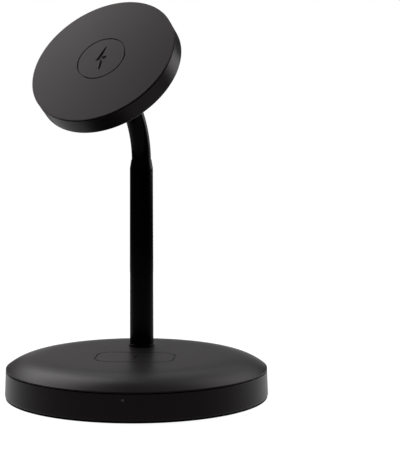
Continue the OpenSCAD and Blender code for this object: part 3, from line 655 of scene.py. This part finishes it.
for side, way in (("upper", 1), ("lower", -1)):
    contacts = row.shape(
        put("inlet_contacts_" + side, drawn("inlet_contacts_" + side, [(0, 0, 0)])),
        Count=CONTACT_N, Pitch=CONTACT_PITCH * MM, Material=gold_plate,
        Size=(CONTACT_W * MM, CONTACT_L * MM, CONTACT_T * MM),
    )
    contacts.data.transform(Matrix.Translation(MM * Vector((
        -CONTACT_PITCH * (CONTACT_N - 1) / 2, CONTACT_Y, PORT_Z + way * TONGUE_T / 2
    ))))
    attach(contacts, "base")

# A small lamp sits on an upright white carrier behind the front wall. A light guide of smoked
# clear plastic fills the hole before it.
lamp_white = mottled(
    "lamp_body_white", (0.5, 0.5, 0.48), (0.62, 0.62, 0.6), 200, 0.4, 0.5,
)
smoked_guide = mottled(
    "smoked_light_guide", (0.008, 0.007, 0.007), (0.02, 0.018, 0.018), 900, 0.2, 0.3,
    Specular_IOR_Level=0.3,
)
dress(lamp_white, "status_lamp")
dress(smoked_guide, "lamp_window")

# The cover is a moulded dome that snaps into the housing. Its shoulder falls away by a power
# of the distance from its flat middle. The oblong mark and the bolt sign are cut into it.
COVER_TOP, COVER_T, FLAT_R, LIP_Z, SHOULDER_POWER = 16.35, 1.8, 30.5, 11.5, 3.45
SKIRT_OUT, SKIRT_IN, SKIRT_LOW = 50.1, 48.7, 9.55
POST_BACK, TAIL_R = 20.2, 4.5
PAD_L, PAD_W, PAD_R, PAD_LINE, PAD_DEEP, PAD_Y = 31, 21, 6.5, 0.5, 0.3, -6.5
PAD_BOLT_H, SIGN_DEEP = 4.2, 0.4
BOSS_R, BOSS_Z, PILLAR_HIGH, POST_FIT = 8.2, 12.15, 12.2, 0.2
COVER_PILLAR_D, COVER_HOLE_D = 6.4, 3.04
DOME_END, DOME_STEPS, UNDER_STEPS, FLAT_POINTS = 0.4, 40, 20, (0, 10, 20)
RIM_EDGE = 0.25


def shoulder(r):
    fall = max(0, (r - FLAT_R) / (RIM_R - FLAT_R)) ** SHOULDER_POWER
    return COVER_TOP - (COVER_TOP - LIP_Z) * fall


def bolt_sign(height):
    """The generic charge sign, a bolt, as an outline of that height."""
    return [(x * height, y * height) for x, y in (
        (0.155, 0.50), (-0.215, -0.055), (-0.02, -0.055), (-0.095, -0.50),
        (-0.045, -0.50), (0.215, 0.055), (0.02, 0.055), (0.205, 0.50),
    )]


dome_r = [
    FLAT_R + (RIM_R - DOME_END - FLAT_R) * i / DOME_STEPS for i in range(DOME_STEPS + 1)
]
under_r = [
    FLAT_R + (SKIRT_IN - FLAT_R) * i / UNDER_STEPS for i in range(UNDER_STEPS, -1, -1)
]
cover = turned("cover_dome", [
    *((r, COVER_TOP) for r in FLAT_POINTS),
    *((r, shoulder(r)) for r in dome_r),
    (RIM_R, LIP_Z, RIM_EDGE), (RIM_R, SEAM_HIGH, EDGE_CRISP),
    (SKIRT_OUT, SEAM_HIGH, EDGE_CRISP), (SKIRT_OUT, SKIRT_LOW, EDGE_SMALL),
    (SKIRT_IN, SKIRT_LOW, EDGE_SMALL),
    *((r, shoulder(r) - COVER_T) for r in under_r),
    (0, COVER_TOP - COVER_T),
], shell_black)
pad_groove = prism("pad_groove", [
    stadium(PAD_L + PAD_LINE, PAD_W + PAD_LINE, PAD_R + PAD_LINE / 2),
    stadium(PAD_L - PAD_LINE, PAD_W - PAD_LINE, PAD_R - PAD_LINE / 2),
], COVER_TOP - PAD_DEEP, COVER_TOP + PAST)
pad_bolt = prism(
    "pad_bolt", [bolt_sign(PAD_BOLT_H)], COVER_TOP - SIGN_DEEP, COVER_TOP + PAST
)
for mark in (pad_groove, pad_bolt):
    mark.data.transform(Matrix.Translation((0, PAD_Y * MM, 0)))
post_place_plan = [(0, POST_BACK)]
joined(
    cover,
    set_out("post_boss", post_place_plan, 2 * BOSS_R, BOSS_Z, COVER_TOP - PAST, shell_black),
    set_out("cover_pillars", screw_places, COVER_PILLAR_D, SCREW_TOP, PILLAR_HIGH, shell_black),
)
cut(
    cover, pad_groove, pad_bolt,
    set_out(
        "post_hole", post_place_plan, 2 * TAIL_R + POST_FIT, BOSS_Z - PAST, COVER_TOP + PAST
    ),
    set_out(
        "cover_screw_holes", screw_places, COVER_HOLE_D, SCREW_TOP - PAST, PILLAR_HIGH - SUNK
    ),
)
fit(cover, "base", "base_top_cover")

# Under the oblong mark a tray of natural plastic holds a small charging coil of enamelled
# copper wire on a plate of dark ferrite.
natural_plastic = mottled(
    "natural_plastic", (0.6, 0.58, 0.52), (0.7, 0.68, 0.62), 120, 0.4, 0.5,
)
dark_ferrite = mottled("dark_ferrite", (0.03, 0.03, 0.032), (0.055, 0.053, 0.05), 500, 0.5, 0.7)
copper_wire = mottled(
    "enamelled_copper", (0.45, 0.16, 0.06), (0.62, 0.24, 0.1), 600, 0.25, 0.35, Metallic=1.0,
)
dress(natural_plastic, "coil_tray")
dress(dark_ferrite, "earbud_ferrite")
dress(copper_wire, "earbud_coil")

# The post is a turned steel tube under smooth black paint, a little narrower towards its
# rounded mouth. A trim ring, painted alike, covers the hole at its foot.
POST_TOP, NOSE_Z, COLLAR_TOP, TAIL_LOW, TAIL_CHAMFER = 93.0, 89.4, 17.25, 8.11, 0.4
MOUTH_IN_R, MOUTH_OUT_R, NOSE_R, ROOT_R = 4.0, 4.12, 4.7, 4.9
TAIL_END_R, POST_BORE_R, BUSH_SEAT_Z = 4.1, 3.3, 67.9
RING_IN_R, RING_OUT_R = 4.6, 5.2
paint = Finish("black_paint")
post_black = paint.surface(
    Base_Color=(0.0012, 0.001, 0.0013), Specular_IOR_Level=0.03, Specular_Tint=WARM_SHEEN,
    Roughness=paint.spread(paint.noise(60), 0.17, 0.21),
)
post_place = Matrix.Translation((0, POST_BACK * MM, 0))
post = turned("post_tube", [
    (MOUTH_IN_R, POST_TOP), (MOUTH_OUT_R, POST_TOP), (NOSE_R, NOSE_Z, EDGE_SOFT),
    (ROOT_R, COLLAR_TOP, EDGE_CRISP), (TAIL_R, COLLAR_TOP), (TAIL_R, TAIL_LOW + TAIL_CHAMFER),
    (TAIL_END_R, TAIL_LOW), (POST_BORE_R, TAIL_LOW), (POST_BORE_R, BUSH_SEAT_Z),
    (MOUTH_IN_R, BUSH_SEAT_Z), (MOUTH_IN_R, POST_TOP),
], post_black)
collar = turned("post_trim_ring", [
    (RING_IN_R, COLLAR_TOP), (RING_OUT_R, COLLAR_TOP, RIM_EDGE), (RING_OUT_R, COVER_TOP),
    (RING_IN_R, COVER_TOP), (RING_IN_R, COLLAR_TOP),
], post_black)
for piece, node in ((post, "post"), (collar, "post_collar")):
    piece.data.transform(post_place)
    fit(piece, "base", node)

# A steel washer and nut hold the post under the cover. Natural plastic bushes carry the
# neck in its mouth, and a black lead runs up inside.
lead_black = mottled(
    "black_lead_sheath", (0.009, 0.009, 0.01), (0.016, 0.016, 0.017), 250, 0.5, 0.62,
)
dress(plain_steel, "post_washer", "post_nut")
dress(natural_plastic, "swivel_bush", "swivel_washer")
dress(lead_black, "base_lead", "neck_lead", "head_lead")

# The neck is bent from aluminium tube and painted like the post. Its thin lower end turns
# in the post, where a tab limits the turn and a spring clip in a groove holds it down.
BEND_R, BEND_Z, BEND_A, NECK_TURN, NECK_END_L = 35, 92.2, 50, 26, 3.4
NECK_R, BORE_R, SPINDLE_R, GROOVE_R = 3.9, 2.2, 3.1, 2.75
SPINDLE_LOW, GROOVE_LOW, GROOVE_HIGH, SHOULDER_Z = 69.4, 70.5, 71.5, 91.3
STOP_LOW, STOP_R, STOP_HALF_A, STOP_SUNK, STOP_STEPS = 90.1, 3.8, 12, 0.3, 4
BEND_STEPS, NECK_TURNS = 36, 128
bend_l = BEND_R * math.radians(BEND_A)
neck_end = BEND_Z + bend_l + NECK_END_L
bend_steps = [BEND_Z + bend_l * i / BEND_STEPS for i in range(BEND_STEPS + 1)]
neck = turned("neck_bent_tube", [
    (BORE_R, SPINDLE_LOW), *((BORE_R, z) for z in bend_steps), (BORE_R, neck_end),
    (NECK_R, neck_end, EDGE_SMALL), *((NECK_R, z) for z in reversed(bend_steps)),
    (NECK_R, SHOULDER_Z), (SPINDLE_R, SHOULDER_Z), (SPINDLE_R, GROOVE_HIGH),
    (GROOVE_R, GROOVE_HIGH), (GROOVE_R, GROOVE_LOW), (SPINDLE_R, GROOVE_LOW),
    (SPINDLE_R, SPINDLE_LOW), (BORE_R, SPINDLE_LOW),
], post_black, turns=NECK_TURNS)
stop_turns = [
    math.radians(270 + STOP_HALF_A * i / STOP_STEPS) for i in range(-STOP_STEPS, STOP_STEPS + 1)
]
stop_in_r = SPINDLE_R - STOP_SUNK
joined(neck, prism("neck_stop", [
    [(STOP_R * math.cos(a), STOP_R * math.sin(a)) for a in stop_turns]
    + [(stop_in_r * math.cos(a), stop_in_r * math.sin(a)) for a in reversed(stop_turns)]
], STOP_LOW, SHOULDER_Z + STOP_SUNK))

# The bend: what lies above its start is wound forwards on an arc and runs straight on.
tube_bend = Shaping(
    "tube_bend", Radius="NodeSocketFloat", Start="NodeSocketFloat", Angle="NodeSocketFloat"
)
tube_x = tube_bend.node("ShaderNodeSeparateXYZ", {}, tube_bend.node("GeometryNodeInputPosition"))
tube_y = Wire(tube_bend, tube_x.socket.node.outputs["Y"])
tube_z = Wire(tube_bend, tube_x.socket.node.outputs["Z"])
arc_r, arc_start = tube_bend.given("Radius"), tube_bend.given("Start")
arc_way = tube_z - arc_start
arc_turn = (arc_way / arc_r | 0.0) & tube_bend.given("Angle")
past_arc = arc_way - arc_turn * arc_r
arc_cos, arc_sin = arc_turn.maths("COSINE", arc_turn), arc_turn.maths("SINE", arc_turn)
tube_bend.closed(tube_bend.node(
    "GeometryNodeSetPosition", {}, Geometry=tube_bend.given(),
    Position=tube_bend.node(
        "ShaderNodeCombineXYZ", {}, tube_x,
        (arc_r + tube_y) * arc_cos - past_arc * arc_sin - arc_r,
        arc_start + (arc_r + tube_y) * arc_sin + past_arc * arc_cos,
    ),
))
tube_bend.shape(
    neck, Radius=BEND_R * MM, Start=BEND_Z * MM, Angle=math.radians(BEND_A), Material=post_black
)
neck_place = post_place @ Matrix.Rotation(math.radians(-NECK_TURN), 4, "Z")
neck.data.transform(neck_place)
fit(neck, "neck", "neck_tube")
dress(plain_steel, "neck_clip")

# A steel ball on a stud is pressed into the neck's end. A liner of natural plastic grips
# the ball, and a cap screwed on from inside closes the socket.
dress(plain_steel, "ball_stud", "cap_screws")
dress(natural_plastic, "ball_liner", "ball_cap")

# The head's back is a thin cup, moulded with the base's black plastic. Its rounded boss holds
# the ball in a spherical socket, which is open to the neck below and to the cap inside.
HEAD_SPIN = 20
HEAD_REACH, HEAD_R, HEAD_IN, FLOOR_IN = 13.6, 30.17, 28.7, 14.8
GAP_LOW, LIP_LOW, FACE_LOW, FACE_HIGH, CROWN = 20.85, 21.3, 20.5, 21.6, 0.85
BOSS_LOW, BOSS_MOUTH_R, BOSS_ROOT_R, BOSS_EDGE = 5.8, 7.2, 12.5, 0.6
BALL_AT, SOCKET_R, SOCKET_MOUTH_R, CAP_SEAT_R, CAP_SEAT_Z = 9.4, 5.5, 4.25, 6.72, 9.6
SEAM_IN, HEAD_EDGE, BOSS_CHAMFER, BOSS_LIP, MOUTH_EDGE = 0.6, 0.12, 0.1, 0.5, 0.03
LINING_EDGE = 0.3
SOCKET_ANGLES, BOSS_ANGLES = range(88, 49, -4), range(84, -1, -6)
head_place = (
    neck_place
    @ Matrix.Translation(MM * Vector((
        0, -BEND_R * (1 - math.cos(math.radians(BEND_A))),
        BEND_Z + BEND_R * math.sin(math.radians(BEND_A)),
    )))
    @ Matrix.Rotation(math.radians(BEND_A), 4, "X")
    @ Matrix.Rotation(math.radians(HEAD_SPIN), 4, "Z")
)
socket_path = [
    (SOCKET_R * math.sin(math.radians(a)), BALL_AT - SOCKET_R * math.cos(math.radians(a)))
    for a in SOCKET_ANGLES
]
boss_path = [
    (BOSS_MOUTH_R + (BOSS_ROOT_R - BOSS_MOUTH_R) * math.sin(math.radians(t)),
     BOSS_LOW + BOSS_EDGE + (HEAD_REACH - BOSS_LOW - BOSS_EDGE) * (1 - math.cos(math.radians(t))))
    for t in BOSS_ANGLES
]
head_shell = turned("head_shell", [
    (CAP_SEAT_R, FLOOR_IN), (HEAD_IN, FLOOR_IN, LINING_EDGE), (HEAD_IN, LIP_LOW),
    (HEAD_R - SEAM_IN, LIP_LOW), (HEAD_R - SEAM_IN, GAP_LOW), (HEAD_R, GAP_LOW, HEAD_EDGE),
    (HEAD_R, HEAD_REACH, EDGE_SOFT), (BOSS_ROOT_R, HEAD_REACH), *boss_path,
    (BOSS_MOUTH_R, BOSS_LOW + BOSS_CHAMFER), (BOSS_MOUTH_R - BOSS_LIP, BOSS_LOW),
    (SOCKET_MOUTH_R, BOSS_LOW, MOUTH_EDGE), *reversed(socket_path), (SOCKET_R, CAP_SEAT_Z),
    (CAP_SEAT_R, CAP_SEAT_Z), (CAP_SEAT_R, FLOOR_IN),
], shell_black)
head_shell.data.transform(head_place)
fit(head_shell, "head", "head_rear_housing")

# Inside the head lie a board, a ring of sixteen magnets on a steel plate in a plastic
# carrier, and a flat coil on ferrite with a small heat sensor.
magnet_grey = mottled(
    "nickel_plated_magnet", (0.5, 0.49, 0.46), (0.62, 0.61, 0.58), 260, 0.2, 0.3, Metallic=1.0,
)
dress(solder_mask, "head_board")
dress(natural_plastic, "magnet_carrier")
dress(plain_steel, "magnet_backplate")
dress(magnet_grey, "magnet_ring")
dress(dark_ferrite, "head_ferrite")
dress(copper_wire, "head_coil")
dress(lamp_white, "head_thermistor")

# The face is a slightly crowned plate, moulded and coated for a softer touch in a lighter,
# warm black. A ring and a bolt sign are engraved in it, and it closes the head's back.
RING_R, RING_W, RING_EDGE = 10.1, 0.45, 0.04
FACE_BOLT_H, FACE_GAP, LIP_EDGE = 11.2, 0.1, 0.05
CROWN_INSIDE, CROWN_OUTSIDE = range(1, 10), range(11, 30)


def crown(r):
    return FACE_HIGH + CROWN * (1 - (r / (HEAD_R - FACE_GAP)) ** 2)


soft_black = Finish("soft_touch_black")
face_black = soft_black.surface(
    Base_Color=soft_black.blend(
        soft_black.noise(30), (0.029, 0.0248, 0.0255), (0.032, 0.0274, 0.0282)
    ),
    Roughness=soft_black.spread(soft_black.noise(40), 0.42, 0.48), Specular_IOR_Level=0.12,
    Specular_Tint=WARM_SHEEN,
    Normal=soft_black.bump(soft_black.noise(3000, 2), 0.00001, 0.4),
)
MARK_FLOOR = crown(RING_R) - SIGN_DEEP
ring_in, ring_out = RING_R - RING_W / 2, RING_R + RING_W / 2
face = turned("face_disc", [
    (0, crown(0)), *((r, crown(r)) for r in CROWN_INSIDE),
    (ring_in, crown(ring_in), RING_EDGE), (ring_in, MARK_FLOOR), (ring_out, MARK_FLOOR),
    (ring_out, crown(ring_out), RING_EDGE), *((r, crown(r)) for r in CROWN_OUTSIDE),
    (HEAD_R, FACE_HIGH, HEAD_EDGE), (HEAD_R, LIP_LOW, LIP_EDGE), (HEAD_IN - FACE_GAP, LIP_LOW),
    (HEAD_IN - FACE_GAP, FACE_LOW), (0, FACE_LOW),
], face_black)
cut(face, prism("face_bolt", [bolt_sign(FACE_BOLT_H)], MARK_FLOOR, MARK_FLOOR + 3 * PAST))
face.data.transform(head_place)
fit(face, "head", "head_face_plate")
